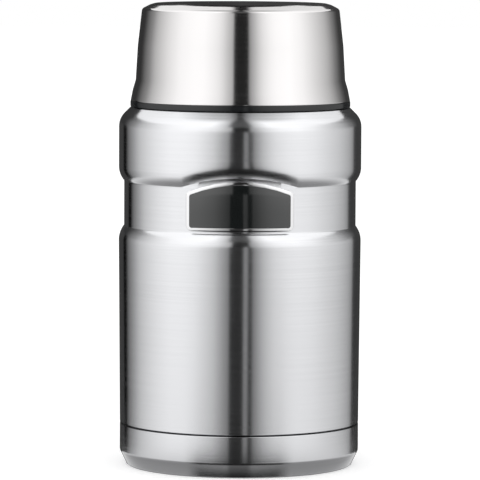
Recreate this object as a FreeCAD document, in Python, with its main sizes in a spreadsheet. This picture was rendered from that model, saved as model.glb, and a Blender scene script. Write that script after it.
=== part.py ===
import FreeCAD, Part
import math
import operator
import os
import types

import Sketcher

# Insulated food jar: a double-walled steel vessel, a screw stopper and a screw-on cup lid.
# Millimetres, +Z up, origin at the centre of the foot, the plate on the waist facing -Y.

SIZES = {
    # Outer shell, from the seam above the foot up to the lip.
    "BarrelRadius": 52.0,
    "BarrelTaper": 0.6,
    "BarrelHeight": 96.7,
    "OuterWall": 0.6,
    "SeamHeight": 18.1,
    "SeamGap": 0.4,
    "WaistDepth": 2.25,
    "WaistLength": 18.9,
    "RollRadius": 10.0,
    "RollFillet": 1.0,
    "BandStep": 2.25,
    "BandHeight": 17.3,
    "BandEdgeRadius": 9.0,
    "BandOverlap": 1.0,
    "ShoulderRadius": 8.0,
    "ShoulderAngle": 45.0,
    "ShoulderHeight": 8.2,
    "NeckRadius": 39.0,
    "NeckFillet": 1.0,
    "NeckHeight": 11.6,
    # Arched relief in the band, above the plate.
    "ArchRise": 4.1,
    "ArchHalfWidth": 24.6,
    "ArchSink": 0.5,
    # Base cup.
    "FootBevelWidth": 2.7,
    "FootBevelHeight": 5.6,
    "FootBevelRadius": 4.0,
    "FootRound": 0.7,
    "FootWidth": 4.6,
    "DishDepth": 2.6,
    "DishSlope": 1.2,
    "LipLength": 7.0,
    "LipPlay": 0.05,
    "PortDimpleRadius": 8.0,
    "PortDimpleDepth": 1.4,
    "PortRadius": 1.2,
    "SealHeadRadius": 3.0,
    "SealHeadHeight": 0.9,
    "SealDiscRadius": 14.0,
    "SealDiscThickness": 0.4,
    # Food vessel inside the shell.
    "InnerWall": 0.5,
    "VacuumGap": 7.1,
    "VesselFloor": 11.0,
    "VesselCorner": 6.0,
    "FloorSkirt": 2.0,
    "MouthDrop": 5.8,
    "VesselShoulder": 12.0,
    "NeckVacuum": 0.9,
    "LipHeight": 0.6,
    "LipRound": 0.25,
    # In the vacuum.
    "FoilThickness": 0.2,
    "FoilGap": 0.15,
    "FoilMargin": 3.0,
    "FoilHoleRadius": 12.0,
    "GetterRadius": 5.0,
    "GetterHeight": 2.4,
    "ClipThickness": 0.4,
    "ClipWidth": 7.0,
    "ClipFoot": 3.4,
    "ClipPlay": 0.2,
    # Plate on the waist.
    "PlateTopMargin": 0.9,
    "PlateBottomMargin": 0.6,
    "PlateSideMargin": 2.0,
    "PlateArch": 4.9,
    "PlateCorner": 2.6,
    "PlateBorder": 1.6,
    "PlateThickness": 1.1,
    "PlateEdge": 0.25,
    "AdhesiveThickness": 0.2,
    "AdhesiveInset": 0.8,
    "InlayThickness": 0.4,
    "InlaySink": 0.15,
    # Stopper.
    "SealGap": 0.3,
    "GasketThickness": 1.3,
    "GasketWidth": 2.9,
    "GasketPlay": 0.3,
    "PlugPlay": 0.6,
    "PlugDepth": 9.6,
    "PlugWall": 1.5,
    "PlugRound": 2.5,
    "DeckThickness": 1.6,
    "DeckRound": 0.5,
    "NeckThreadRoom": 1.9,
    "SkirtWall": 1.5,
    "SkirtGap": 0.7,
    "CapHeight": 14.8,
    "CapInset": 1.1,
    "CapDraft": 0.6,
    "CapRound": 2.0,
    "CapWall": 2.4,
    "RecessRadius": 34.0,
    "RecessDepth": 10.0,
    "GripHalfWidth": 8.0,
    "GripWall": 1.8,
    "FluteCount": 36,
    "FluteRadius": 1.3,
    "FluteDepth": 0.8,
    "FluteMargin": 1.8,
    "FoamPlay": 0.3,
    # Cup lid.
    "RimGap": 0.3,
    "RingHeight": 2.5,
    "RingProud": 0.15,
    "RingRound": 0.4,
    "RingTongue": 1.8,
    "RingStep": 1.2,
    "RingPlay": 0.2,
    "RingLean": 0.5,
    "CupPlay": 0.7,
    "CupThreadRoom": 1.8,
    "LinerWall": 1.0,
    "AirGap": 0.3,
    "CupWall": 0.5,
    "CupFlare": 2.1,
    "FlareHeight": 8.9,
    "FlareRadius": 48.0,
    "CupWallHeight": 29.9,
    "CupTaper": 2.6,
    "CupWallCurve": 270.0,
    "CupCornerRadius": 2.0,
    "CupCornerInset": 1.5,
    "CupCornerRise": 1.7,
    "CupCrownInset": 4.8,
    "CupCrownRise": 1.2,
    "LinerThreadHeight": 5.5,
    "LinerCorner": 5.0,
    "LinerHeadroom": 1.6,
}

LEFT = 1
RIGHT = -1
CUTTING = ("PartDesign::Pocket", "PartDesign::Groove")


class Dim:
    """A number together with the expression on the sheet that gives it."""

    def __init__(self, value, text):
        self.value = value
        self.text = text

    def __add__(self, other):
        return combine(operator.add, "+", self, other)

    def __sub__(self, other):
        return combine(operator.sub, "-", self, other)

    def __rsub__(self, other):
        return combine(operator.sub, "-", other, self)

    def __mul__(self, other):
        return combine(operator.mul, "*", self, other)

    __radd__ = __add__
    __rmul__ = __mul__

    def __truediv__(self, other):
        return combine(operator.truediv, "/", self, other)

    def __neg__(self):
        return combine(operator.sub, "-", 0, self)


def as_dim(number):
    return number if isinstance(number, Dim) else Dim(number, str(number))


def combine(function, sign, first, second):
    first = as_dim(first)
    second = as_dim(second)
    return Dim(function(first.value, second.value), f"({first.text} {sign} {second.text})")


def root(square):
    return Dim(math.sqrt(square.value), f"sqrt({square.text})")


def sine(degrees):
    return Dim(math.sin(math.radians(degrees.value)), f"sin({degrees.text})")


def cosine(degrees):
    return Dim(math.cos(math.radians(degrees.value)), f"cos({degrees.text})")


doc = FreeCAD.newDocument("food_jar")
sheet = doc.addObject("Spreadsheet::Sheet", "Sheet")
for row, (name, number) in enumerate(SIZES.items(), start=1):
    sheet.set(f"A{row}", name)
    sheet.set(f"B{row}", str(number))
    sheet.setAlias(f"B{row}", name)
doc.recompute()

s = types.SimpleNamespace(**{name: Dim(number, f"Sheet.{name}") for name, number in SIZES.items()})

# Radii and heights that several pieces share, each worked out from the sheet.
waist_radius = s.BarrelRadius - s.WaistDepth
band_radius = waist_radius + s.BandStep
vessel_radius = s.BarrelRadius - s.BarrelTaper - s.OuterWall - s.VacuumGap - s.InnerWall
mouth_radius = s.NeckRadius - s.OuterWall - s.NeckVacuum - s.InnerWall
skirt_bore = s.NeckRadius + s.NeckThreadRoom
skirt_radius = skirt_bore + s.SkirtWall
cup_radius = skirt_radius + s.CupPlay + s.LinerWall + s.AirGap + s.CupWall


def round_rise(depth, radius):
    """Height that a round of this radius takes to cover a step of this depth."""
    return root(2 * radius * depth - depth * depth)


waist_low = s.BarrelHeight + round_rise(s.WaistDepth, s.RollRadius + s.RollFillet)
waist_top = waist_low + s.WaistLength
band_low = waist_top + round_rise(s.BandStep, s.BandEdgeRadius)
shoulder_low = band_low + s.BandHeight
ledge = shoulder_low + s.ShoulderHeight
neck_top = ledge + s.NeckHeight
lip = neck_top + s.LipHeight
gasket_low = lip + s.SealGap
deck_low = gasket_low + s.GasketThickness
deck_top = deck_low + s.DeckThickness
cap_top = deck_top + s.CapHeight
ring_low = ledge + s.RimGap
ring_top = ring_low + s.RingHeight


def new_body(label):
    body = doc.addObject("PartDesign::Body", label)
    body.Label = label
    return body


def new_sketch(body, name, role, offset=None, height=None):
    """A sketch on one of the body's own origin planes, raised along the plane's normal if asked."""
    sketch = body.newObject("Sketcher::SketchObject", name)
    plane = next(item for item in body.Origin.OriginFeatures if item.Role == role)
    sketch.AttachmentSupport = [(plane, "")]
    sketch.MapMode = "FlatFace"
    if offset is not None:
        sketch.AttachmentOffset = offset
    if height is not None:
        sketch.AttachmentOffset = FreeCAD.Placement(FreeCAD.Vector(0, 0, height.value), FreeCAD.Rotation())
        sketch.setExpression("AttachmentOffset.Base.z", height.text)
    return sketch


def arc_between(start, end, radius, turn):
    """The minor arc from start to end that turns left or right, and the numbers of its two ends."""
    chord = end - start
    to_centre = math.sqrt(radius ** 2 - (chord.Length / 2) ** 2)
    left = FreeCAD.Vector(-chord.y, chord.x, 0).normalize()
    centre = (start + end) * 0.5 + left * (to_centre * turn)
    first, last = (start, end) if turn == LEFT else (end, start)
    angles = [math.atan2(point.y - centre.y, point.x - centre.x) for point in (first, last)]
    if angles[1] < angles[0]:
        angles[1] += 2 * math.pi
    circle = Part.Circle(centre, FreeCAD.Vector(0, 0, 1), radius)
    return Part.ArcOfCircle(circle, *angles), ((1, 2) if turn == LEFT else (2, 1))


def draw(sketch, path):
    """Close a path of corners, each (x, y) or, at the end of an arc, (x, y, radius, turn).

    Every corner is pinned to the sheet, and so is every radius.
    """
    points = [FreeCAD.Vector(as_dim(corner[0]).value, as_dim(corner[1]).value, 0) for corner in path]
    base = sketch.GeometryCount
    shapes = []
    ends = []
    for index, corner in enumerate(path):
        start = points[index - 1]
        end = points[index]
        if len(corner) == 2:
            shapes.append(Part.LineSegment(start, end))
            ends.append((1, 2))
        else:
            shape, numbers = arc_between(start, end, corner[2].value, corner[3])
            shapes.append(shape)
            ends.append(numbers)
    sketch.addGeometry(shapes, False)
    for index, corner in enumerate(path):
        piece = base + index
        following = base + (index + 1) % len(path)
        here = ends[index][1]
        joint = Sketcher.Constraint("Coincident", piece, here, following, ends[following - base][0])
        sketch.addConstraint(joint)
        pin(sketch, "DistanceX", -2, piece, here, corner[0])
        pin(sketch, "DistanceY", -1, piece, here, corner[1])
        if len(corner) > 2:
            bind(sketch, Sketcher.Constraint("Radius", piece, corner[2].value), f"radius{piece}", corner[2])


def pin(sketch, kind, axis, piece, end, size):
    """Hold one coordinate of a point: on the axis where it is 0, else at its distance."""
    if not isinstance(size, Dim):
        sketch.addConstraint(Sketcher.Constraint("PointOnObject", piece, end, axis))
        return
    constraint = Sketcher.Constraint(kind, -1, 1, piece, end, size.value)
    bind(sketch, constraint, f"{kind}{piece}", size)


def bind(sketch, constraint, name, size):
    index = sketch.addConstraint(constraint)
    sketch.renameConstraint(index, name)
    sketch.setExpression(f"Constraints.{name}", size.text)


def revolve(body, path, kind="PartDesign::Revolution", name="turned"):
    """Turn an outline in the XZ plane a full turn about Z, to add it or to cut it away."""
    sketch = new_sketch(body, f"{name}_outline", "XZ_Plane")
    draw(sketch, path)
    feature = body.newObject(kind, name)
    feature.Profile = sketch
    feature.ReferenceAxis = (sketch, ["V_Axis"])
    feature.Angle = 360
    sketch.Visibility = False
    return feature


def turned_body(label, path):
    body = new_body(label)
    revolve(body, path)
    return body


def boolean(kind, label, base, tool):
    result = doc.addObject(f"Part::{kind}", label)
    result.Label = label
    result.Base = base
    result.Tool = tool
    return result


def tube(label, inner, outer, low, high):
    """A plain tube between two radii and two heights, as the cut of two cylinders."""
    cylinders = []
    for name, radius in (("outside", outer), ("inside", inner)):
        cylinder = doc.addObject("Part::Cylinder", f"{label}_{name}")
        cylinder.setExpression("Radius", radius.text)
        cylinder.setExpression("Height", (high - low).text)
        cylinder.setExpression("Placement.Base.z", low.text)
        cylinders.append(cylinder)
    return boolean("Cut", label, *cylinders)


def lower_form(wall, bottom):
    """Half outline of the barrel, the roll and the waist, which runs on inside the band."""
    roll_total = s.RollRadius + s.RollFillet
    share = (s.RollRadius - wall) / roll_total
    roll_x = s.BarrelRadius - s.RollRadius + (roll_total - s.WaistDepth) * share
    roll_z = s.BarrelHeight + (waist_low - s.BarrelHeight) * share
    return [
        (0, bottom),
        (s.BarrelRadius - s.BarrelTaper - wall, bottom),
        (s.BarrelRadius - wall, s.BarrelHeight),
        (roll_x, roll_z, s.RollRadius - wall, LEFT),
        (waist_radius - wall, waist_low, s.RollFillet + wall, RIGHT),
        (waist_radius - wall, shoulder_low),
        (0, shoulder_low),
    ]


def upper_form(wall):
    """Half outline of the band, the shoulder, the ledge under the cup and the neck."""
    shoulder = s.ShoulderRadius - wall
    cone_x = band_radius - s.ShoulderRadius + shoulder * cosine(s.ShoulderAngle)
    cone_z = shoulder_low + shoulder * sine(s.ShoulderAngle)
    ledge_x = cone_x - (ledge - wall - cone_z) * sine(s.ShoulderAngle) / cosine(s.ShoulderAngle)
    edge = s.BandEdgeRadius - wall
    edge_low = band_low - round_rise(s.BandStep + s.BandOverlap, edge)
    return [
        (0, edge_low),
        (waist_radius - wall - s.BandOverlap, edge_low),
        (band_radius - wall, band_low, edge, LEFT),
        (band_radius - wall, shoulder_low),
        (cone_x, cone_z, shoulder, LEFT),
        (ledge_x, ledge - wall),
        (s.NeckRadius + s.NeckFillet, ledge - wall),
        (s.NeckRadius - wall, ledge + s.NeckFillet, s.NeckFillet + wall, RIGHT),
        (s.NeckRadius - wall, neck_top),
        (0, neck_top),
    ]


def arch_relief(body, wall):
    """Cut the band's lower edge upwards in an arch above the plate, through the front of the band."""
    half = s.ArchHalfWidth + wall
    rise = s.ArchRise + s.ArchSink
    foot = waist_top - s.ArchSink + wall
    floor = waist_low
    outline = new_sketch(body, "arch_outline", "XZ_Plane")
    draw(outline, [
        (-half, floor),
        (half, floor),
        (half, foot),
        (-half, foot, (half * half + rise * rise) / (2 * rise), LEFT),
    ])
    outline.Visibility = False
    relief = body.newObject("PartDesign::Pocket", "arch_relief")
    relief.Profile = outline
    relief.Reversed = True
    relief.setExpression("Length", (s.BarrelRadius + s.BandStep).text)


def shell_form(label, wall, bottom):
    """The shell's whole form as one solid, set in by the wall: the arched band over the lower form."""
    body = new_body(label)
    revolve(body, upper_form(wall), name="band_and_neck")
    arch_relief(body, wall)
    revolve(body, lower_form(wall, bottom), name="barrel_and_waist")
    return body


def make_outer_shell():
    """The pressed steel shell: its outer form less the same form set in by the sheet's thickness."""
    bottom = s.SeamHeight + s.SeamGap / 2
    outside = shell_form("shell_outside", as_dim(0), bottom)
    inside = shell_form("shell_inside", s.OuterWall, bottom)
    return boolean("Cut", "outer_shell", outside, inside)


def make_base_cup():
    """The pressed bottom: bevelled foot, dished underside with the port, and a lip inside the barrel."""
    radius = s.BarrelRadius - s.BarrelTaper
    foot = radius - s.FootBevelWidth
    inner = radius - s.OuterWall
    lip_radius = inner - s.LipPlay
    top = s.SeamHeight - s.SeamGap / 2
    heel = foot - s.FootWidth
    slope = s.DishSlope
    dish = s.DishDepth
    dimple = dish + s.PortDimpleDepth
    wall = s.OuterWall
    return turned_body("base_cup", [
        (s.PortRadius, dimple),
        (s.PortDimpleRadius - s.PortDimpleDepth, dimple),
        (s.PortDimpleRadius, dish),
        (heel - slope, dish),
        (heel, 0),
        (foot - s.FootRound, 0),
        (foot, s.FootRound, s.FootRound, LEFT),
        (radius - wall / 2, s.FootBevelHeight),
        (radius, s.FootBevelHeight + wall * 2, s.FootBevelRadius, LEFT),
        (radius, top),
        (lip_radius, top),
        (lip_radius, top + s.LipLength),
        (lip_radius - wall, top + s.LipLength),
        (lip_radius - wall, s.FootBevelHeight + wall * 2),
        (lip_radius - wall * 1.5, s.FootBevelHeight, s.FootBevelRadius - wall, RIGHT),
        (foot - wall, wall + s.FootRound),
        (foot - wall - s.FootRound, wall, s.FootRound, RIGHT),
        (heel + wall, wall),
        (heel - slope + wall, dish + wall),
        (s.PortDimpleRadius + wall, dish + wall),
        (s.PortDimpleRadius - s.PortDimpleDepth + wall, dimple + wall),
        (s.PortRadius, dimple + wall),
    ])


def make_inner_wall():
    """The food vessel's side: a straight wall, a drawn-in shoulder, the neck and the rolled lip."""
    join = s.VesselFloor + s.VesselCorner + s.FloorSkirt
    mouth_low = ledge - s.MouthDrop
    shoulder = mouth_low - s.VesselShoulder
    step = vessel_radius - mouth_radius
    bend = (s.VesselShoulder * s.VesselShoulder + step * step) / (4 * step)
    wall = s.InnerWall
    middle_x = vessel_radius - step / 2
    middle_z = shoulder + s.VesselShoulder / 2
    normal_x = (bend - step / 2) / bend
    normal_z = s.VesselShoulder / 2 / bend
    return turned_body("inner_wall", [
        (vessel_radius, join),
        (vessel_radius + wall, join),
        (vessel_radius + wall, shoulder),
        (middle_x + wall * normal_x, middle_z + wall * normal_z, bend + wall, LEFT),
        (mouth_radius + wall, mouth_low, bend - wall, RIGHT),
        (mouth_radius + wall, neck_top),
        (s.NeckRadius, neck_top),
        (s.NeckRadius, lip - s.LipRound),
        (s.NeckRadius - s.LipRound, lip, s.LipRound, LEFT),
        (mouth_radius + s.LipRound, lip),
        (mouth_radius, lip - s.LipRound, s.LipRound, LEFT),
        (mouth_radius, mouth_low),
        (middle_x, middle_z, bend, LEFT),
        (vessel_radius, shoulder, bend, RIGHT),
    ])


def make_inner_floor():
    """The vessel's dished bottom, butt-welded to the side wall above its corner."""
    wall = s.InnerWall
    join = s.VesselFloor + s.VesselCorner + s.FloorSkirt
    bend_top = s.VesselFloor + s.VesselCorner
    flat = vessel_radius - s.VesselCorner
    return turned_body("inner_floor", [
        (0, s.VesselFloor - wall),
        (flat, s.VesselFloor - wall),
        (vessel_radius + wall, bend_top, s.VesselCorner + wall, LEFT),
        (vessel_radius + wall, join),
        (vessel_radius, join),
        (vessel_radius, bend_top),
        (flat, s.VesselFloor, s.VesselCorner, RIGHT),
        (0, s.VesselFloor),
    ])


def make_vacuum_parts():
    """Foils, getter and its clip, the port's plug and the disc that hides it."""
    underside = s.VesselFloor - s.InnerWall
    wrap_inner = vessel_radius + s.InnerWall + s.FoilGap
    wrap_low = s.VesselFloor + s.VesselCorner + s.FoilMargin
    wrap_high = ledge - s.MouthDrop - s.VesselShoulder - s.FoilMargin
    wrap = tube("foil_wrap", wrap_inner, wrap_inner + s.FoilThickness, wrap_low, wrap_high)
    foil_top = underside - s.FoilGap
    foil_rim = vessel_radius - s.VesselCorner
    disc = tube("foil_disc", s.FoilHoleRadius, foil_rim, foil_top - s.FoilThickness, foil_top)

    getter = doc.addObject("Part::Cylinder", "getter")
    getter.setExpression("Radius", s.GetterRadius.text)
    getter.setExpression("Height", s.GetterHeight.text)
    getter.setExpression("Placement.Base.z", (underside - s.GetterHeight).text)

    clip = new_body("getter_clip")
    outline = new_sketch(clip, "clip_outline", "XZ_Plane")
    inside = s.GetterRadius + s.ClipPlay
    outside = inside + s.ClipThickness
    foot = outside + s.ClipFoot
    saddle = underside - s.GetterHeight
    draw(outline, [
        (foot, underside),
        (foot, underside - s.ClipThickness),
        (outside, underside - s.ClipThickness),
        (outside, saddle - s.ClipThickness),
        (-outside, saddle - s.ClipThickness),
        (-outside, underside - s.ClipThickness),
        (-foot, underside - s.ClipThickness),
        (-foot, underside),
        (-inside, underside),
        (-inside, saddle),
        (inside, saddle),
        (inside, underside),
    ])
    strap = clip.newObject("PartDesign::Pad", "strap")
    strap.Profile = outline
    strap.Midplane = True
    strap.setExpression("Length", s.ClipWidth.text)

    dimple = s.DishDepth + s.PortDimpleDepth
    plug = turned_body("seal_plug", [
        (0, dimple - s.SealHeadHeight),
        (s.SealHeadRadius / 2, dimple - s.SealHeadHeight),
        (s.SealHeadRadius, dimple),
        (s.PortRadius, dimple),
        (s.PortRadius, dimple + s.OuterWall),
        (0, dimple + s.OuterWall),
    ])

    cover = doc.addObject("Part::Cylinder", "seal_disc")
    cover.setExpression("Radius", s.SealDiscRadius.text)
    cover.setExpression("Height", s.SealDiscThickness.text)
    cover.setExpression("Placement.Base.z", (s.DishDepth - s.SealDiscThickness).text)
    return [wrap, disc, getter, clip, plug, cover]


def plate_outline(inset):
    """Front outline of the plate: straight sides and foot, arched top, rounded corners."""
    half = s.ArchHalfWidth - s.PlateSideMargin
    crest = waist_top + s.ArchRise - s.PlateTopMargin
    arch = (half * half + s.PlateArch * s.PlateArch) / (2 * s.PlateArch)
    centre = crest - arch
    low = waist_low + s.PlateBottomMargin + inset
    half = half - inset
    arch = arch - inset
    corner = s.PlateCorner - inset
    reach = half - corner
    corner_z = centre + root((arch - corner) * (arch - corner) - reach * reach)
    share = arch / (arch - corner)
    top_z = centre + (corner_z - centre) * share
    return [
        (reach, low),
        (half, low + corner, corner, LEFT),
        (half, corner_z),
        (reach * share, top_z, corner, LEFT),
        (-(reach * share), top_z, arch, LEFT),
        (-half, corner_z, corner, LEFT),
        (-half, low + corner),
        (-reach, low, corner, LEFT),
    ]


def curved_plate(label, inset, inner, outer):
    """The part of a thin tube round the waist that lies behind the plate's outline."""
    prism = new_body(f"{label}_prism")
    outline = new_sketch(prism, "outline", "XZ_Plane")
    draw(outline, plate_outline(inset))
    pad = prism.newObject("PartDesign::Pad", "pad")
    pad.Profile = outline
    pad.setExpression("Length", (outer + s.PlateBorder).text)
    ring = tube(f"{label}_ring", inner, outer, waist_low, band_low + s.ArchRise)
    return boolean("Common", label, prism, ring)


def make_plate():
    """Adhesive pad, bright plate with a raised border, and the dark inlay in its field."""
    back = waist_radius + s.AdhesiveThickness
    front = back + s.PlateThickness
    field = front - s.InlaySink - s.InlayThickness
    adhesive = curved_plate("badge_adhesive", s.AdhesiveInset, waist_radius, back)
    blank = curved_plate("plate_blank", as_dim(0), back, front)
    pocket = curved_plate("plate_pocket", s.PlateBorder, field, front + s.PlateThickness)
    sunk = boolean("Cut", "plate_sunk", blank, pocket)
    inlay = curved_plate("badge_inlay", s.PlateBorder, field, field + s.InlayThickness)
    doc.recompute()
    plate = doc.addObject("Part::Fillet", "badge_plate")
    plate.Label = "badge_plate"
    plate.Base = sunk
    rim = []
    for number, edge in enumerate(sunk.Shape.Edges, start=1):
        radii = [math.hypot(vertex.X, vertex.Y) for vertex in edge.Vertexes]
        if min(radii) > front.value - s.PlateEdge.value / 2:
            rim.append((number, s.PlateEdge.value, s.PlateEdge.value))
    plate.Edges = rim
    return [adhesive, plate, inlay]


def make_gasket():
    """Silicone ring under the deck, which seals on the lip."""
    inner = mouth_radius - s.PlugPlay + s.GasketPlay
    outer = inner + s.GasketWidth
    soft = s.GasketThickness / 3
    return turned_body("stopper_gasket", [
        (inner + soft, gasket_low, soft, LEFT),
        (outer - soft, gasket_low),
        (outer, gasket_low + soft, soft, LEFT),
        (outer, deck_low),
        (inner, deck_low),
        (inner, gasket_low + soft),
    ])


def make_stopper_body():
    """Plug, deck and skirt of the stopper, moulded in one."""
    plug = mouth_radius - s.PlugPlay
    low = deck_low - s.PlugDepth
    core = plug - s.PlugWall
    well = s.PlugRound - s.PlugWall / 2
    floor = low + s.PlugWall
    skirt_low = ledge + s.SkirtGap
    return turned_body("stopper_body", [
        (0, low),
        (plug - s.PlugRound, low),
        (plug, low + s.PlugRound, s.PlugRound, LEFT),
        (plug, deck_low),
        (skirt_bore, deck_low),
        (skirt_bore, skirt_low),
        (skirt_radius, skirt_low),
        (skirt_radius, deck_top - s.DeckRound),
        (skirt_radius - s.DeckRound, deck_top, s.DeckRound, LEFT),
        (core, deck_top),
        (core, floor + well),
        (core - well, floor, well, RIGHT),
        (0, floor),
    ])


def make_stopper_cap():
    """Moulded top: fluted rim, and two finger recesses that leave a grip bar between them."""
    body = new_body("stopper_cap")
    radius = skirt_radius - s.CapInset
    top_radius = radius - s.CapDraft
    inner = radius - s.CapWall
    recess_floor = cap_top - s.RecessDepth
    under = recess_floor - s.GripWall
    revolve(body, [
        (0, deck_top),
        (radius, deck_top),
        (top_radius, cap_top - s.CapRound),
        (top_radius - s.CapRound, cap_top, s.CapRound, LEFT),
        (0, cap_top),
    ])
    hollow_rim = s.RecessRadius + s.GripWall
    hollow_top = cap_top - s.CapWall
    revolve(body, [
        (0, deck_top),
        (inner, deck_top),
        (inner, hollow_top),
        (hollow_rim, hollow_top),
        (hollow_rim, under),
        (0, under),
    ], "PartDesign::Groove", "hollow")

    across = root(s.RecessRadius * s.RecessRadius - s.GripHalfWidth * s.GripHalfWidth)
    recesses = new_sketch(body, "recess_outline", "XY_Plane", height=recess_floor)
    for side in (1, -1):
        draw(recesses, [
            (side * across, side * s.GripHalfWidth),
            (-side * across, side * s.GripHalfWidth, s.RecessRadius, LEFT),
        ])
    recess = body.newObject("PartDesign::Pocket", "finger_recesses")
    recess.Profile = recesses
    recess.Reversed = True
    recess.setExpression("Length", s.RecessDepth.text)

    slot_half = s.GripHalfWidth - s.GripWall
    slot_reach = across - s.GripWall
    slot = new_sketch(body, "bar_outline", "XY_Plane", height=under)
    draw(slot, [
        (slot_reach, -slot_half),
        (slot_reach, slot_half),
        (-slot_reach, slot_half),
        (-slot_reach, -slot_half),
    ])
    core = body.newObject("PartDesign::Pocket", "bar_core")
    core.Profile = slot
    core.Reversed = True
    core.setExpression("Length", (hollow_top - under).text)

    flute_sketch = new_sketch(body, "flute_outline", "XY_Plane", height=deck_top + s.FluteMargin)
    circle = Part.Circle(FreeCAD.Vector(radius.value, 0, 0), FreeCAD.Vector(0, 0, 1), s.FluteRadius.value)
    flute_sketch.addGeometry(circle, False)
    pin(flute_sketch, "DistanceX", -2, 0, 3, radius - s.FluteDepth + s.FluteRadius)
    pin(flute_sketch, "DistanceY", -1, 0, 3, 0)
    bind(flute_sketch, Sketcher.Constraint("Radius", 0, s.FluteRadius.value), "flute", s.FluteRadius)
    flute = body.newObject("PartDesign::Pocket", "flute")
    flute.Profile = flute_sketch
    flute.Reversed = True
    flute.setExpression("Length", (s.CapHeight - s.CapRound - 2 * s.FluteMargin).text)
    flutes = body.newObject("PartDesign::PolarPattern", "flutes")
    flutes.Originals = [flute]
    flutes.Axis = (flute_sketch, ["N_Axis"])
    flutes.Angle = 360
    flutes.setExpression("Occurrences", s.FluteCount.text)
    body.Tip = flutes
    return body


def make_foam():
    """Foam disc in the plug, up to the underside of the finger recesses."""
    core = mouth_radius - s.PlugPlay - s.PlugWall - s.FoamPlay
    floor = deck_low - s.PlugDepth + s.PlugWall
    high = cap_top - s.RecessDepth - s.GripWall - s.FoamPlay
    chamfer = s.PlugRound - s.PlugWall / 2
    return turned_body("stopper_foam", [
        (0, floor),
        (core - chamfer, floor),
        (core, floor + chamfer),
        (core, high),
        (0, high),
    ])


def cup_outline(inset, top_inset, bottom):
    """Half outline of the cup from its lower edge to the middle of its top, set in by a wall."""
    kink = ring_top + s.FlareHeight
    corner = kink + s.CupWallHeight
    top = corner + s.CupCornerRise + s.CupCrownRise
    wall_top = cup_radius - s.CupTaper
    crown = wall_top - s.CupCornerInset
    crown_low = corner + s.CupCornerRise - top_inset
    return [
        (cup_radius + s.CupFlare - inset, bottom),
        (cup_radius - inset, kink, s.FlareRadius, LEFT),
        (wall_top - inset, corner - top_inset, s.CupWallCurve, LEFT),
        (crown - inset / 2, crown_low, s.CupCornerRadius, LEFT),
        (crown - s.CupCrownInset, top - top_inset),
        (0, top - top_inset),
    ]


def backwards(path):
    """The same open path from its end to its start, each arc handed to the corner it now ends at."""
    corners = [path[-1][:2]]
    for index in range(len(path) - 2, -1, -1):
        arc = path[index + 1][2:]
        corners.append((*path[index][:2], arc[0], -arc[1]) if arc else path[index][:2])
    return corners


def make_cup_shell():
    """The polished steel cup: flared foot, slightly curved wall and a low crown."""
    outside = cup_outline(as_dim(0), as_dim(0), ring_top)
    inside = cup_outline(s.CupWall, s.CupWall, ring_top)
    return turned_body("cup_shell", outside + backwards(inside))


def liner_side(inset):
    """Half outline of the cup liner, from its lower edge to the middle of its ceiling."""
    gap = s.CupWall + s.AirGap
    low = ring_low + s.RingStep
    thread = skirt_radius + s.CupThreadRoom + s.LinerWall - inset
    kink = ring_top + s.FlareHeight
    top = kink + s.CupWallHeight + s.CupCornerRise + s.CupCrownRise - s.CupWall - s.LinerHeadroom
    wall_top = cup_radius - s.CupTaper - gap - inset
    return [
        (thread, low),
        (thread, low + s.LinerThreadHeight),
        (cup_radius - gap - inset, kink),
        (wall_top, top - s.LinerCorner, s.CupWallCurve, LEFT),
        (wall_top - s.LinerCorner + inset, top - inset, s.LinerCorner - inset, LEFT),
        (0, top - inset),
    ]


def make_cup_liner():
    """The moulded inner cup, which the food is eaten from, with its thread zone at the mouth."""
    return turned_body("cup_liner", liner_side(as_dim(0)) + backwards(liner_side(s.LinerWall)))


def make_rim_ring():
    """The black ring round the rim: it closes the gap between shell and liner with a tongue."""
    bore = skirt_radius + s.CupThreadRoom
    outer = cup_radius + s.CupFlare + s.RingProud
    tongue_inner = bore + s.LinerWall + s.RingPlay
    tongue_outer = cup_radius + s.CupFlare - s.CupWall - s.RingLean
    step = ring_low + s.RingStep
    return turned_body("cup_rim_ring", [
        (bore, ring_low),
        (outer - s.RingRound, ring_low),
        (outer, ring_low + s.RingRound, s.RingRound, LEFT),
        (outer, ring_top - s.RingRound),
        (outer - s.RingRound, ring_top, s.RingRound, LEFT),
        (tongue_outer, ring_top),
        (tongue_outer, ring_top + s.RingTongue),
        (tongue_inner, ring_top + s.RingTongue),
        (tongue_inner, step),
        (bore, step),
    ])


PARTS = [
    make_outer_shell(),
    make_base_cup(),
    make_inner_wall(),
    make_inner_floor(),
    *make_vacuum_parts(),
    *make_plate(),
    make_gasket(),
    make_stopper_body(),
    make_stopper_cap(),
    make_foam(),
    make_cup_shell(),
    make_cup_liner(),
    make_rim_ring(),
]
doc.recompute()

for item in doc.Objects:
    if "Invalid" in item.State or "Error" in item.State:
        raise RuntimeError(f"{item.Label} is {item.State}")
    if item.TypeId in CUTTING and item.Shape.Volume >= item.BaseFeature.Shape.Volume:
        raise RuntimeError(f"{item.Label} takes nothing away")

os.makedirs("parts", exist_ok=True)
for piece in PARTS:
    if piece.Shape.isNull() or not piece.Shape.isValid():
        raise RuntimeError(f"{piece.Label} has no valid shape")
    piece.Shape.exportStep(f"parts/{piece.Label}.step")
    print(piece.Label, round(piece.Shape.Volume, 1), len(piece.Shape.Solids))
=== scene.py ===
import math

import bmesh
import bpy
from mathutils import Matrix, Vector


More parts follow.
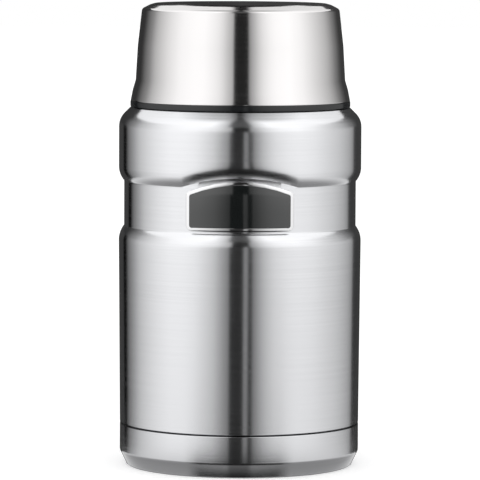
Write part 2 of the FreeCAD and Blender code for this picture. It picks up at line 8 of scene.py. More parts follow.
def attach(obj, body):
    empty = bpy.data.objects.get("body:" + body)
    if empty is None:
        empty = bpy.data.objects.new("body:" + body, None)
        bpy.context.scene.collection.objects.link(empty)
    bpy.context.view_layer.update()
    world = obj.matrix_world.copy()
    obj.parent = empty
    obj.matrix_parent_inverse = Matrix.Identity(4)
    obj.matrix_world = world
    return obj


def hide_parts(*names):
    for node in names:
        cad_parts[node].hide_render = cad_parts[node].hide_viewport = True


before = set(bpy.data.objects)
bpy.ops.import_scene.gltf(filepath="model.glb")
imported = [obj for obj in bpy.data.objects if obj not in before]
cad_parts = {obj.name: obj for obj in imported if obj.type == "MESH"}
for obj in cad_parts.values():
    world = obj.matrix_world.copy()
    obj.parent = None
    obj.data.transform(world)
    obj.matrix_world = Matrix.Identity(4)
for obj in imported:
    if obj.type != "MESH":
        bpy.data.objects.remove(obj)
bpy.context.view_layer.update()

# Base cup: the pressed steel bottom, its collar pushed into the barrel up to a fine open seam.
# Above the seam the collar is coloured near-black: painted shade in the seam.
# Its side carries the barrel's satin grain on, and below it the foot is bevelled in.
# The underside is dished, with the evacuation port at its centre under a stuck-on disc.

MM = 0.001
FULL_TURN = 2 * math.pi
LEFT = 1
RIGHT = -1
ARC_STEP = math.radians(6)
LATHE_STEPS = 360
EDGE_ANGLE = math.radians(28)
JOIN_DISTANCE = MM / 1000

BASE_OUTLINE = [
    (1.2, 4.0), (6.6, 4.0), (8.0, 2.6), (42.9, 2.6), (44.1, 0.25), (44.35, 0.0), (48.0, 0.0),
    (48.7, 0.7, 0.7, LEFT), (51.1, 5.6), (51.4, 6.8, 4.0, LEFT), (51.4, 17.52), (51.12, 17.8, 0.28, LEFT),
    (50.25, 17.8), (50.25, 24.9), (49.85, 24.9), (49.85, 6.8), (49.55, 5.6, 3.4, RIGHT), (48.1, 1.3),
    (47.4, 0.6, 0.7, RIGHT), (44.7, 0.6), (43.5, 3.2), (8.6, 3.2), (7.2, 4.6), (1.2, 4.6),
]
# Painted shade in the seam: above this height the base cup's collar is coloured near-black.
SEAM_SHADE_HEIGHT = 17.85 * MM
SEAM_SHADE_FADE = 0.1 * MM
SEAM_SHADE_COLOUR = (0.02, 0.02, 0.022, 1)
BARREL_SATIN = ((0.89, 0.895, 0.915, 1), (0.845, 0.85, 0.87, 1), 0.17, 30.0, 0.85)


def bent(corners):
    """Points in metres along corners (r, z) in millimetres; radius and turn bend the way to one."""
    points = []
    for corner in corners:
        end = Vector(corner[:2]) * MM
        if len(corner) > 2:
            start = points[-1]
            radius = corner[2] * MM
            chord = end - start
            left = Vector((-chord.y, chord.x)).normalized()
            reach = math.sqrt(radius ** 2 - (chord.length / 2) ** 2)
            centre = (start + end) / 2 + left * reach * corner[3]
            sweep = 2 * math.asin(chord.length / 2 / radius) * corner[3]
            steps = max(2, math.ceil(abs(sweep) / ARC_STEP))
            for step in range(1, steps):
                angle = sweep * step / steps
                points.append(centre + Matrix.Rotation(angle, 2) @ (start - centre))
        points.append(end)
    return points


def lathe_turned(corners):
    """A closed outline spun once about the upright axis."""
    mesh = bmesh.new()
    points = [mesh.verts.new((point.x, 0, point.y)) for point in bent(corners)]
    lines = [mesh.edges.new((points[index - 1], points[index])) for index in range(len(points))]
    bmesh.ops.spin(mesh, geom=points + lines, cent=(0, 0, 0), axis=(0, 0, 1), angle=FULL_TURN,
                   steps=LATHE_STEPS, use_merge=True)
    bmesh.ops.remove_doubles(mesh, verts=mesh.verts, dist=JOIN_DISTANCE)
    bmesh.ops.recalc_face_normals(mesh, faces=mesh.faces)
    return mesh


def placed(name, mesh, body, finish):
    """Show a mesh as a piece of that body, smooth but for its sharp edges."""
    data = bpy.data.meshes.new(name)
    mesh.to_mesh(data)
    mesh.free()
    data.shade_smooth()
    data.set_sharp_from_angle(angle=EDGE_ANGLE)
    data.materials.append(finish)
    piece = bpy.data.objects.new(name, data)
    bpy.context.scene.collection.objects.link(piece)
    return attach(piece, body)


class Field:
    """A value that varies over a surface, added to and scaled with the usual signs."""

    def __init__(self, finish, socket):
        self.finish = finish
        self.socket = socket

    def combined(self, operation, other):
        return self.finish.node("ShaderNodeMath", {"operation": operation}, {0: self, 1: other})

    def __add__(self, other):
        return self.combined("ADD", other)

    def __mul__(self, other):
        return self.combined("MULTIPLY", other)


class Finish:
    """A material whose nodes are added by type, settings and the values of their sockets."""

    def __init__(self, name, **constants):
        self.material = bpy.data.materials.new(name)
        self.material.use_nodes = True
        self.tree = self.material.node_tree
        self.shader = self.tree.nodes["Principled BSDF"]
        for socket, value in constants.items():
            self.shader.inputs[socket.replace("_", " ")].default_value = value

    def plug(self, socket, value):
        if isinstance(value, Field):
            self.tree.links.new(value.socket, socket)
        else:
            socket.default_value = value

    def node(self, kind, settings, inputs, output=0):
        made = self.tree.nodes.new(kind)
        for key, value in settings.items():
            setattr(made, key, value)
        for key, value in inputs.items():
            self.plug(made.inputs[key], value)
        return Field(self, made.outputs[output])

    def place(self, scale=(1, 1, 1)):
        """Where a point lies on the piece, in metres times the scale."""
        where = self.node("ShaderNodeTexCoord", {}, {}, "Object")
        return self.node("ShaderNodeMapping", {}, {"Vector": where, "Scale": scale})

    def noise(self, scale, detail=3.0, stretch=(1, 1, 1)):
        return self.node("ShaderNodeTexNoise", {}, {
            "Vector": self.place(stretch), "Scale": scale, "Detail": detail})

    def ramp(self, field, low, high, floor=0.0, ceiling=1.0):
        return self.node("ShaderNodeMapRange", {"clamp": True}, {
            "Value": field, "From Min": low, "From Max": high, "To Min": floor, "To Max": ceiling})

    def mix(self, share, first, second):
        return self.node("ShaderNodeMix", {"data_type": "RGBA"}, {0: share, 6: first, 7: second}, 2)

    def bump(self, height, strength, distance):
        return self.node("ShaderNodeBump", {}, {
            "Height": height, "Strength": strength, "Distance": distance})

    def feed(self, **fields):
        for socket, value in fields.items():
            self.plug(self.shader.inputs[socket.replace("_", " ")], value)
        return self.material


def satin_steel(name, pale, deep, roughness, grain, along=0.0, painted_shade_above=None):
    """Steel brushed round and round: level lines, faint clouds, small rubs, and near-black painted shade
    above a given height.
    """
    steel = Finish(name, Metallic=1.0, Anisotropic=along, Anisotropic_Rotation=0.25)
    lines = steel.noise(60.0, 4.0, (0.15, 0.15, grain))
    clouds = steel.noise(38.0, 3.0)
    rubs = steel.ramp(steel.noise(420.0, 2.0, (0.4, 0.4, 3.0)), 0.66, 0.74)
    colour = steel.mix(steel.ramp(lines * 0.75 + clouds * 0.25, 0.32, 0.68), deep, pale)
    if painted_shade_above:
        # Painted shade: above the given height the colour fades to near-black, standing in for shade in a
        # seam.
        height = steel.node("ShaderNodeSeparateXYZ", {}, {0: steel.place()}, 2)
        colour = steel.mix(steel.ramp(height, painted_shade_above - SEAM_SHADE_FADE, painted_shade_above), colour, SEAM_SHADE_COLOUR)
    return steel.feed(
        Base_Color=colour,
        Roughness=(steel.ramp(lines, 0.3, 0.7, roughness * 0.85, roughness * 1.15)
                   + clouds * 0.02 + rubs * 0.03),
        Normal=steel.bump(lines + rubs * 0.2, 0.05, 0.0001))


base_cup = placed("base_cup_skin", lathe_turned(BASE_OUTLINE), "jar",
                  satin_steel("base_steel", *BARREL_SATIN, SEAM_SHADE_HEIGHT))
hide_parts("base_cup")

# Outer shell: one drawn steel skin from the seam up to the neck, satin all over. It is rolled in
# to the waist, pressed out again as a band, and coned in to the ledge that the cup stands on.
# Above the plate the band's rounded lower edge is pressed up into a low arch, which fades up the band.

SHELL_OUTLINE = [
    (51.4, 18.68), (51.41, 20.0), (51.55, 40.0), (51.7, 60.0), (51.85, 80.0), (52.0, 96.7),
    (49.955, 102.76, 10.0, LEFT), (49.75, 103.37, 1.0, RIGHT), (49.75, 112.0), (49.75, 121.6),
    (49.75, 122.23), (49.79, 122.31), (52.0, 128.22, 8.9, LEFT),
    (52.0, 130.0), (52.0, 133.0), (52.0, 137.0), (52.0, 141.0), (52.0, 145.52),
    (49.66, 151.18, 8.0, LEFT), (47.35, 153.48), (46.78, 153.72, 0.8, LEFT), (40.0, 153.72),
    (39.0, 154.72, 1.0, RIGHT), (39.0, 165.32),
    (38.4, 165.32), (38.4, 154.4), (39.7, 153.12), (46.5, 153.12), (49.2, 150.8),
    (51.4, 145.52, 7.4, RIGHT), (51.4, 128.22), (49.15, 122.3), (49.15, 103.37), (49.4, 102.5),
    (51.4, 96.7), (50.8, 18.4), (51.12, 18.4),
]
ARCH_RISE = 4.1 * MM
ARCH_HALF = 24.6 * MM
BAND_FOOT = 121.7 * MM
BAND_LOW = 128.22 * MM
BAND_HIGH = 145.52 * MM


def arch_lift(point):
    """How far the band's lower edge is pressed up at a point of the shell."""
    share = point.x / ARCH_HALF
    if point.y > 0 or abs(share) > 1 or point.z <= BAND_FOOT:
        return 0
    fading = (BAND_HIGH - point.z) / (BAND_HIGH - BAND_LOW)
    return ARCH_RISE * (1 - share ** 2) * min(1, max(0, fading))


shell = lathe_turned(SHELL_OUTLINE)
for vertex in shell.verts:
    vertex.co.z += arch_lift(vertex.co)
outer_shell = placed("outer_shell_skin", shell, "jar", satin_steel("barrel_steel", *BARREL_SATIN))
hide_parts("outer_shell")

# Neck thread: a single rolled ridge round the neck, one and a half turns, which the stopper's
# skirt screws down on. Its two ends fade back into the neck.

THREAD_PITCH = 3.6
THREAD_STEPS = 120
THREAD_FLAT = 0.3
THREAD_BED = 0.3
THREAD_FADE = 0.1


def thread_ridge(root, crest, low, turns, foot):
    """A screw ridge: one section swept up round the axis, fading into the wall at both ends."""
    mesh = bmesh.new()
    bed = root + (root - crest) * THREAD_BED
    section = [(bed, low), (root, low), (crest, low + foot * (1 - THREAD_FLAT) / 2),
               (crest, low + foot * (1 + THREAD_FLAT) / 2), (root, low + foot), (bed, low + foot)]
    points = [mesh.verts.new((radius * MM, 0, height * MM)) for radius, height in section]
    lines = [mesh.edges.new((points[index - 1], points[index])) for index in range(len(points))]
    steps = round(turns * THREAD_STEPS)
    bmesh.ops.spin(mesh, geom=points + lines, cent=(0, 0, 0), axis=(0, 0, 1), angle=FULL_TURN * turns,
                   steps=steps, dvec=(0, 0, THREAD_PITCH * MM * turns / steps))
    ends = [edge for edge in mesh.edges if edge.is_boundary]
    bmesh.ops.holes_fill(mesh, edges=ends, sides=len(section))
    bmesh.ops.recalc_face_normals(mesh, faces=mesh.faces)
    for number, vertex in enumerate(mesh.verts):
        step = number // len(section)
        fade = min(1, min(step, steps - step) / (THREAD_FADE * steps))
        radius = math.hypot(vertex.co.x, vertex.co.y)
        share = (root * MM + (radius - root * MM) * fade) / radius
        if (radius - root * MM) * (crest - root) > 0:
            vertex.co.x *= share
            vertex.co.y *= share
    return mesh


neck_steel = satin_steel("neck_steel", (0.92, 0.92, 0.935, 1), (0.8, 0.81, 0.825, 1), 0.16, 14.0, 0.3)
neck_thread = placed("neck_thread", thread_ridge(39.0, 39.7, 157.3, 1.5, 1.9), "jar", neck_steel)

# Food vessel: the inner wall, drawn in to the mouth with a rolled lip, and its welded dished floor.
# They are plain polished steel, as food touches them, with the marks of spinning and of spoons.


def softened():
    """Node group that joins a CAD mesh's facets and shades it smooth, but for its sharp edges."""
    group = bpy.data.node_groups.new("softened_facets", "GeometryNodeTree")
    for way in ("INPUT", "OUTPUT"):
        group.interface.new_socket("Geometry", in_out=way, socket_type="NodeSocketGeometry")
    entry = group.nodes.new("NodeGroupInput")
    leave = group.nodes.new("NodeGroupOutput")
    join = group.nodes.new("GeometryNodeMergeByDistance")
    join.inputs["Distance"].default_value = JOIN_DISTANCE
    angle = group.nodes.new("GeometryNodeInputMeshEdgeAngle")
    blunt = group.nodes.new("FunctionNodeCompare")
    blunt.operation = "LESS_EQUAL"
    blunt.inputs["B"].default_value = EDGE_ANGLE
    faces = group.nodes.new("GeometryNodeSetShadeSmooth")
    edges = group.nodes.new("GeometryNodeSetShadeSmooth")
    edges.domain = "EDGE"
    group.links.new(entry.outputs[0], join.inputs["Geometry"])
    group.links.new(join.outputs["Geometry"], faces.inputs["Geometry"])
    group.links.new(faces.outputs["Geometry"], edges.inputs["Geometry"])
    group.links.new(angle.outputs["Unsigned Angle"], blunt.inputs["A"])
    group.links.new(blunt.outputs["Result"], edges.inputs["Shade Smooth"])
    group.links.new(edges.outputs["Geometry"], leave.inputs[0])
    return group


SOFTENED = softened()


def finished(finish, *nodes):
    """Give CAD nodes their finish, and shade them smooth but for their sharp edges."""
    for node in nodes:
        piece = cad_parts[node]
        piece.data.materials.clear()
        piece.data.materials.append(finish)
        piece.modifiers.new("softened", "NODES").node_group = SOFTENED


vessel_steel = satin_steel("vessel_steel", (0.9, 0.9, 0.91, 1), (0.79, 0.8, 0.81, 1), 0.2, 9.0)
finished(vessel_steel, "inner_wall", "inner_floor")

# In the vacuum: a wrap and a disc of bright crinkled foil, and a getter pellet in its spring-steel clip.
# The port under the foot is shut by a bead of braze, and a plastic disc is stuck over it.


def crinkled_foil():
    foil = Finish("crinkled_foil", Metallic=1.0)
    creases = foil.node("ShaderNodeTexVoronoi", {"feature": "DISTANCE_TO_EDGE"},
                        {"Vector": foil.place(), "Scale": 160.0})
    sheen = foil.noise(90.0)
    return foil.feed(
        Base_Color=foil.mix(sheen, (0.86, 0.86, 0.87, 1), (0.95, 0.95, 0.95, 1)),
        Roughness=foil.ramp(sheen, 0.3, 0.7, 0.14, 0.3),
        Normal=foil.bump(foil.ramp(creases, 0.0, 0.12) + sheen * 0.3, 0.35, 0.0004))


def sintered_pellet():
    pellet = Finish("sintered_pellet", Metallic=0.6)
    grains = pellet.noise(1800.0, 4.0)
    return pellet.feed(
        Base_Color=pellet.mix(grains, (0.16, 0.155, 0.15, 1), (0.34, 0.33, 0.32, 1)),
        Roughness=pellet.ramp(grains, 0.3, 0.7, 0.6, 0.85),
        Normal=pellet.bump(grains, 0.4, 0.0002))


def brazed_bead():
    braze = Finish("brazed_bead", Metallic=1.0)
    skin = braze.noise(700.0, 3.0)
    return braze.feed(
        Base_Color=braze.mix(skin, (0.58, 0.56, 0.52, 1), (0.74, 0.72, 0.68, 1)),
        Roughness=braze.ramp(skin, 0.3, 0.7, 0.3, 0.5),
        Normal=braze.bump(skin, 0.25, 0.0002))


def moulded_plastic(name, pale, deep, roughness, grain, strength, ior=1.5):
    """Moulded plastic with a fine spark-eroded grain, slow shading and faint flow marks."""
    plastic = Finish(name, IOR=ior)
    grains = plastic.noise(grain, 3.0)
    flow = plastic.noise(30.0, 2.0, (1, 1, 0.4))
    wear = plastic.ramp(plastic.noise(230.0, 2.0), 0.62, 0.74)
    return plastic.feed(
        Base_Color=plastic.mix(flow * 0.7 + grains * 0.3, deep, pale),
        Roughness=plastic.ramp(grains, 0.3, 0.7, roughness * 0.9, roughness * 1.1) + wear * 0.03,
        Normal=plastic.bump(grains + flow * 0.3, strength, 0.0001))


finished(crinkled_foil(), "foil_wrap", "foil_disc")
finished(sintered_pellet(), "getter")
spring_steel = satin_steel("spring_steel", (0.7, 0.71, 0.73, 1), (0.52, 0.53, 0.55, 1), 0.3, 20.0)
finished(spring_steel, "getter_clip")
finished(brazed_bead(), "seal_plug")
cover_plastic = moulded_plastic(
    "cover_plastic", (0.17, 0.175, 0.18, 1), (0.12, 0.125, 0.13, 1), 0.45, 1500.0, 0.15)
finished(cover_plastic, "seal_disc")

# Plate on the waist: a bright bordered plate, curved to the waist and held by an adhesive pad.
# Its border has rolled edges, and a dark glossy inlay is set in its field.

PLATE_OUTLINE = [
    (20.0, 103.97), (22.6, 106.57, 2.6, LEFT), (22.6, 118.36), (21.01, 120.76, 2.6, LEFT),
    (-21.01, 120.76, 54.57, LEFT), (-22.6, 118.36, 2.6, LEFT), (-22.6, 106.57), (-20.0, 103.97, 2.6, LEFT),
]
PLATE_STRIP = 0.75
PLATE_BACK = 49.95
PLATE_SHEET = 0.85
PLATE_ROLLS = [(0.08, 0.17), (0.17, 0.08), (1.1, 0.0), (0.1, -0.08), (0.08, -0.3)]
INLAY_MARGIN = 1.5
INLAY_BACK = 50.5
INLAY_SHEET = 0.3
INLAY_ROLLS = [(0.05, 0.06), (0.1, 0.03)]


def curved_plate(margin, back, wall, rolls):
    """A sheet cut to the plate's outline, its edges rolled in steps, and bent round the waist."""
    mesh = bmesh.new()
    face = mesh.faces.new([mesh.verts.new((point.x, 0, point.y)) for point in bent(PLATE_OUTLINE)])
    if face.normal.y > 0:
        face.normal_flip()
    half = PLATE_OUTLINE[1][0]
    strips = round(2 * half / PLATE_STRIP)
    for strip in range(1, strips):
        whole = mesh.verts[:] + mesh.edges[:] + mesh.faces[:]
        bmesh.ops.bisect_plane(mesh, geom=whole, dist=JOIN_DISTANCE / 10, plane_no=(1, 0, 0),
                               plane_co=((2 * strip / strips - 1) * half * MM, 0, 0))
    if margin:
        rim = bmesh.ops.inset_region(mesh, faces=mesh.faces, thickness=margin * MM)["faces"]
        bmesh.ops.delete(mesh, geom=rim, context="FACES")
    raised = bmesh.ops.extrude_face_region(mesh, geom=mesh.faces[:], use_keep_orig=True)["geom"]
    front = [item for item in raised if isinstance(item, bmesh.types.BMFace)]
    bmesh.ops.translate(mesh, verts=[item for item in raised if isinstance(item, bmesh.types.BMVert)],
                        vec=(0, -wall * MM, 0))
    for face in front:
        face.normal_update()
    for width, rise in rolls:
        bmesh.ops.inset_region(mesh, faces=front, thickness=width * MM)
        front_verts = {vertex for face in front for vertex in face.verts}
        bmesh.ops.translate(mesh, verts=list(front_verts), vec=(0, -rise * MM, 0))
    for vertex in mesh.verts:
        radius = back * MM - vertex.co.y
        vertex.co.y = -math.sqrt(radius ** 2 - vertex.co.x ** 2)
    bmesh.ops.recalc_face_normals(mesh, faces=mesh.faces)
    return mesh


def bright_plate_metal():
    plate = Finish("bright_plate_metal", Metallic=1.0)
    polish = plate.noise(500.0, 3.0, (1, 1, 0.3))
    clouds = plate.noise(60.0)
    return plate.feed(
        Base_Color=plate.mix(clouds, (0.93, 0.93, 0.95, 1), (0.99, 0.99, 0.99, 1)),
        Roughness=plate.ramp(polish, 0.3, 0.7, 0.06, 0.11),
        Normal=plate.bump(polish, 0.02, 0.0001))


def dark_enamel():
    enamel = Finish("dark_enamel", IOR=1.95)
    flow = enamel.noise(45.0)
    peel = enamel.noise(900.0, 2.0)
    return enamel.feed(
        Base_Color=enamel.mix(flow, (0.004, 0.005, 0.005, 1), (0.009, 0.011, 0.011, 1)),
        Roughness=enamel.ramp(peel, 0.3, 0.7, 0.06, 0.1),
        Normal=enamel.bump(peel, 0.03, 0.0001))


def foam_tape():
    tape = Finish("foam_tape")
    cells = tape.noise(2400.0, 2.0)
    return tape.feed(
        Base_Color=tape.mix(cells, (0.62, 0.62, 0.6, 1), (0.75, 0.75, 0.73, 1)),
        Roughness=tape.ramp(cells, 0.3, 0.7, 0.75, 0.9),
        Normal=tape.bump(cells, 0.3, 0.0001))


plate = placed("badge_plate_skin", curved_plate(0, PLATE_BACK, PLATE_SHEET, PLATE_ROLLS), "jar",
               bright_plate_metal())
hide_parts("badge_plate")
inlay = placed("badge_inlay_skin", curved_plate(INLAY_MARGIN, INLAY_BACK, INLAY_SHEET, INLAY_ROLLS),
               "jar", dark_enamel())
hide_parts("badge_inlay")
finished(foam_tape(), "badge_adhesive")

# Stopper: one dark moulding of plug, deck and threaded skirt, with a soft gasket under the deck.
# Its cap has a fluted rim and two finger recesses, and a foam disc fills the hollow plug.

stopper_plastic = moulded_plastic(
    "stopper_plastic", (0.052, 0.054, 0.058, 1), (0.036, 0.038, 0.041, 1), 0.38, 1100.0, 0.12)
finished(stopper_plastic, "stopper_body", "stopper_cap")
skirt_thread = placed("skirt_thread", thread_ridge(40.9, 40.15, 156.4, 1.4, 1.9), "stopper", stopper_plastic)
outer_thread = placed("outer_thread", thread_ridge(42.4, 43.05, 157.2, 1.6, 1.8), "stopper", stopper_plastic)


def soft_silicone():
    silicone = Finish("soft_silicone", Subsurface_Weight=0.15, Subsurface_Scale=0.002)
    bloom = silicone.noise(160.0, 3.0)
    pores = silicone.noise(1600.0, 2.0)
    return silicone.feed(
        Base_Color=silicone.mix(bloom, (0.66, 0.67, 0.67, 1), (0.76, 0.77, 0.77, 1)),
        Roughness=silicone.ramp(bloom, 0.3, 0.7, 0.42, 0.58),
        Normal=silicone.bump(pores, 0.1, 0.0001))


def rigid_foam():
    foam = Finish("rigid_foam")
    cells = foam.node("ShaderNodeTexVoronoi", {}, {"Vector": foam.place(), "Scale": 900.0})
    return foam.feed(
        Base_Color=foam.mix(cells, (0.86, 0.86, 0.84, 1), (0.7, 0.7, 0.68, 1)),
        Roughness=foam.ramp(cells, 0.0, 0.8, 0.7, 0.95),
        Normal=foam.bump(cells, 0.4, 0.0003))


finished(soft_silicone(), "stopper_gasket")
finished(rigid_foam(), "stopper_foam")

# Rim ring: the glossy black ring that the cup stands on, snapped between the shell and the liner.
# It stands a hair proud of the cup, with rounded outer corners.

RING_OUTLINE = [
    (44.2, 154.02), (46.75, 154.02), (47.15, 154.42, 0.4, LEFT), (47.15, 156.12), (46.75, 156.52, 0.4, LEFT),
    (46.0, 156.52), (46.0, 158.32), (45.4, 158.32), (45.4, 155.22), (44.2, 155.22),
]

rim_ring = placed("rim_ring_skin", lathe_turned(RING_OUTLINE), "cup_rim", moulded_plastic(
    "rim_plastic", (0.014, 0.015, 0.016, 1), (0.008, 0.009, 0.01, 1), 0.09, 600.0, 0.02, 1.55))
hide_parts("cup_rim_ring")

# Cup: a polished steel shell over a moulded liner, upside down as the lid. The shell flares to
# the ring, and a rounded bevel runs from its side to its flat top.

CUP_OUTLINE = [
    (46.45, 156.6), (46.95, 156.6), (47.0, 156.75), (46.96, 157.0), (44.9, 165.42, 48.0, LEFT),
    (42.35, 195.0, 270.0, LEFT), (41.24, 196.35, 1.85, LEFT), (39.2, 197.4), (38.35, 197.74, 3.9, LEFT),
    (36.9, 198.13), (36.2, 198.22, 2.8, LEFT), (0.0, 198.22), (0.0, 197.72), (36.1, 197.72),
    (36.77, 197.65, 2.3, RIGHT), (38.22, 197.26), (38.97, 196.96, 3.4, RIGHT), (41.01, 195.91),
    (41.85, 194.93, 1.35, RIGHT), (44.4, 165.42, 269.5, RIGHT),
]


def polished_steel():
    """The cup's steel: buffed bright, with faint level buffing lines and a few handling marks."""
    steel = Finish("cup_steel", Metallic=1.0, Anisotropic=0.35, Anisotropic_Rotation=0.25)
    lines = steel.noise(60.0, 4.0, (0.12, 0.12, 16.0))
    clouds = steel.noise(30.0)
    marks = steel.ramp(steel.noise(300.0, 2.0, (1.0, 1.0, 0.5)), 0.7, 0.78)
    return steel.feed(
        Base_Color=steel.mix(clouds * 0.6 + lines * 0.4, (0.87, 0.853, 0.853, 1), (0.885, 0.87, 0.866, 1)),
        Roughness=steel.ramp(lines, 0.3, 0.7, 0.1, 0.13) + marks * 0.03,
        Normal=steel.bump(lines, 0.02, 0.0001))


cup_shell = placed("cup_shell_skin", lathe_turned(CUP_OUTLINE), "cup", polished_steel())
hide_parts("cup_shell")
liner_plastic = moulded_plastic(
    "liner_plastic", (0.3, 0.305, 0.31, 1), (0.25, 0.255, 0.26, 1), 0.33, 1300.0, 0.08)
finished(liner_plastic, "cup_liner")
liner_thread = placed("liner_thread", thread_ridge(44.2, 43.5, 157.6, 0.6, 1.7), "cup", liner_plastic)

# Studio: a white floor in white light, and hung round the jar a tent of graded grey panels that
# only its reflections see: dark behind, a dark strip round the camera, and paler to the sides.
# Levels are listed by bearing, in degrees to the right of the camera, and by radius or height.

TENT_RADIUS = 0.6
TENT_STEPS = 360
BARREL_PANELS = [
    (-180, 0.045), (-143, 0.045), (-140, 0.0), (-134, 0.0), (-131, 0.08), (-127.7, 0.155), (-116, 0.34),
    (-106, 0.55), (-97, 0.67), (-89, 0.765), (-81, 0.84), (-67, 0.94), (-54, 0.94), (-42, 0.885),
    (-36, 0.81), (-30, 0.71), (-24, 0.6), (-18.4, 0.43), (-14.6, 0.32), (-10, 0.23), (-9, 0.025),
    (3, 0.025), (4, 0.3), (7, 0.26), (8, 0.035), (11, 0.035), (12, 0.2), (17.5, 0.36), (21.3, 0.49),
    (27, 0.63), (32.9, 0.74), (44.8, 0.84), (57.3, 0.87), (70.6, 0.83), (85, 0.73), (101.5, 0.61),
    (111, 0.52), (121.6, 0.41), (130, 0.28), (134, 0.06), (139.6, 0.04), (180, 0.045),
]
CUP_PANELS = [
    (-180, 0.03), (-141, 0.03), (-135, 0.06), (-128, 0.13), (-117, 0.24), (-106, 0.46), (-85, 0.75),
    (-68, 0.94), (-52, 1.0), (-40, 1.0), (-30, 0.91), (-23, 0.815), (-18.6, 0.71), (-14, 0.56),
    (-7.9, 0.41), (-6.8, 0.012), (8.4, 0.012), (9.4, 0.27), (15.6, 0.47), (20.2, 0.645), (25, 0.775),
    (32, 0.905), (39, 0.98), (54, 1.02), (70, 0.92), (87.5, 0.7), (108, 0.46), (125, 0.2), (137, 0.08),
    (145, 0.04), (180, 0.04),
]
GROUND_HEIGHT = -0.12
GROUND_TENTS = [
    ("near_ground", [(0, 0.23), (0.17, 0.23)], [(-180, 1), (-12, 1), (-9, 0.4), (9, 0.4), (13, 1), (180, 1)]),
    ("far_ground", [(0.17, 0.23), (0.3, 0.28), (0.45, 0.55), (TENT_RADIUS, 0.8)], [
        (-180, 1), (-52, 1), (-38, 0.1), (-12, 0.04), (-9, 0.02), (9, 0.02), (12, 0.04), (38, 0.1), (52, 1),
        (180, 1)]),
]
ROOF_HEIGHT = 0.9
ROOF_PANELS = [(0, 0.06), (0.05, 0.1), (0.12, 0.35), (0.2, 0.45), (0.5, 1.0), (1.6, 1.0)]
ROOF_SECTORS = [
    (-180, 0.0), (-177, 0.0), (-175.6, 0.9), (-130, 0.95), (-95, 1.1), (-30, 1.2), (-14, 0.6), (-9, 0.08),
    (9, 0.08), (14, 0.6), (30, 1.2), (95, 1.1), (130, 0.9), (174.5, 0.8), (176, 0.0), (180, 0.0),
]
FLAG_EDGE = 172
FLAG_FOOT = 0.45
FLAG_HEAD = 0.76
FLAG_LEVEL = 0.02
TENT_WALLS = [
    ("barrel_tent", BARREL_PANELS, [(GROUND_HEIGHT, 1.0), (0.04, 1.0), (0.09, 1.07), (0.165, 1.18)]),
    ("cup_tent", CUP_PANELS, [(0.165, 1.1), (0.3, 1.14), (0.45, 1.14)]),
]


def between(panels, place):
    """The level at a place, running evenly from each listed place to the next."""
    for (start, first), (end, last) in zip(panels, panels[1:]):
        if place <= end:
            return first + (last - first) * (place - start) / (end - start)
    return panels[-1][1]


def hung(name, mesh, level_at):
    """Hang up a sheet, each corner glowing at its own level, that only reflections see."""
    glow = mesh.verts.layers.float_color.new("glow")
    for vertex in mesh.verts:
        vertex[glow] = (*[level_at(vertex.co)] * 3, 1)
    data = bpy.data.meshes.new(name)
    mesh.to_mesh(data)
    mesh.free()
    panel = Finish(name, Roughness=1.0, Specular_IOR_Level=0.0, Emission_Strength=1.0)
    glowing = panel.node("ShaderNodeAttribute", {"attribute_name": "glow"}, {}, "Color")
    data.materials.append(panel.feed(Base_Color=(0, 0, 0, 1), Emission_Color=glowing))
    sheet = bpy.data.objects.new(name, data)
    bpy.context.scene.collection.objects.link(sheet)
    sheet.visible_camera = sheet.visible_diffuse = sheet.visible_shadow = sheet.visible_transmission = False


def swept(corners):
    """An open line of (r, z) in metres swept once round the jar from behind it."""
    mesh = bmesh.new()
    points = [mesh.verts.new((0, radius, height)) for radius, height in corners]
    lines = [mesh.edges.new(pair) for pair in zip(points, points[1:])]
    bmesh.ops.spin(mesh, geom=points + lines, cent=(0, 0, 0), axis=(0, 0, 1), angle=FULL_TURN,
                   steps=TENT_STEPS)
    return mesh


def bearing(spot):
    """Degrees round from the camera's side of the jar, growing to the right."""
    return math.degrees(math.atan2(spot.x, -spot.y))


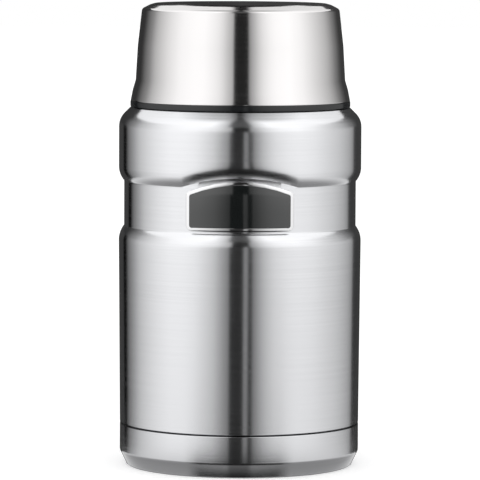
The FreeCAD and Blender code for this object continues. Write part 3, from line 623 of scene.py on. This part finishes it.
for name, panels, rows in TENT_WALLS:
    wall = swept([(TENT_RADIUS, height) for height, share in rows])
    hung(name, wall, lambda spot: between(panels, bearing(spot)) * between(rows, spot.z))
for name, panels, strip in GROUND_TENTS:
    hung(name, swept([(radius, GROUND_HEIGHT) for radius, level in panels]),
         lambda spot: between(panels, spot.xy.length) * between(strip, bearing(spot)))
back_flag = swept([(TENT_RADIUS, FLAG_FOOT), (TENT_RADIUS, FLAG_HEAD)])
beyond = [vertex for vertex in back_flag.verts if abs(bearing(vertex.co)) < FLAG_EDGE]
bmesh.ops.delete(back_flag, geom=beyond, context="VERTS")
hung("back_flag", back_flag, lambda spot: FLAG_LEVEL)
hung("roof_tent", swept([(radius, ROOF_HEIGHT) for radius, level in ROOF_PANELS]),
     lambda spot: between(ROOF_PANELS, spot.xy.length) * between(ROOF_SECTORS, bearing(spot)))

FLOOR_SIZE = 6.0
floor_mesh = bmesh.new()
bmesh.ops.create_grid(floor_mesh, x_segments=1, y_segments=1, size=FLOOR_SIZE)
floor_data = bpy.data.meshes.new("floor")
floor_mesh.to_mesh(floor_data)
floor_mesh.free()
floor_finish = Finish("floor_paper", Roughness=1.0, Specular_IOR_Level=0, Emission_Color=(1, 1, 1, 1),
                      Emission_Strength=0.2)
floor_data.materials.append(floor_finish.feed(Base_Color=floor_finish.mix(
    floor_finish.noise(3.0), (1.0, 1.0, 1.0, 1), (0.99, 0.99, 0.99, 1))))
floor = bpy.data.objects.new("floor", floor_data)
floor.visible_glossy = False
bpy.context.scene.collection.objects.link(floor)

world = bpy.data.worlds.new("white_studio")
world.use_nodes = True
world.node_tree.nodes["Background"].inputs["Color"].default_value = (1, 1, 1, 1)
world.node_tree.nodes["Background"].inputs["Strength"].default_value = 1.0
world.cycles.sampling_method = "NONE"
bpy.context.scene.world = world

# Camera: a long lens a little above the jar's top and tipped down, as the photo was taken.
# Its place, dip, roll and shift are fitted to the jar's outline and to its seams' curves.

CAMERA_PLACE = (0, -1.763, 0.243)
CAMERA_DIP = math.radians(4.75)
CAMERA_ROLL = math.radians(0.26)
CAMERA_LENS = 308.5
CAMERA_SENSOR = 36
CAMERA_SHIFT = 0.0005
eye = bpy.data.cameras.new("photo_camera")
eye.lens = CAMERA_LENS
eye.sensor_width = CAMERA_SENSOR
eye.shift_x = CAMERA_SHIFT
camera = bpy.data.objects.new("photo_camera", eye)
camera.location = CAMERA_PLACE
camera.rotation_euler = (Matrix.Rotation(math.radians(90) - CAMERA_DIP, 3, "X")
                         @ Matrix.Rotation(CAMERA_ROLL, 3, "Z")).to_euler()
bpy.context.scene.collection.objects.link(camera)
bpy.context.scene.camera = camera
bpy.context.scene.view_settings.view_transform = "Standard"
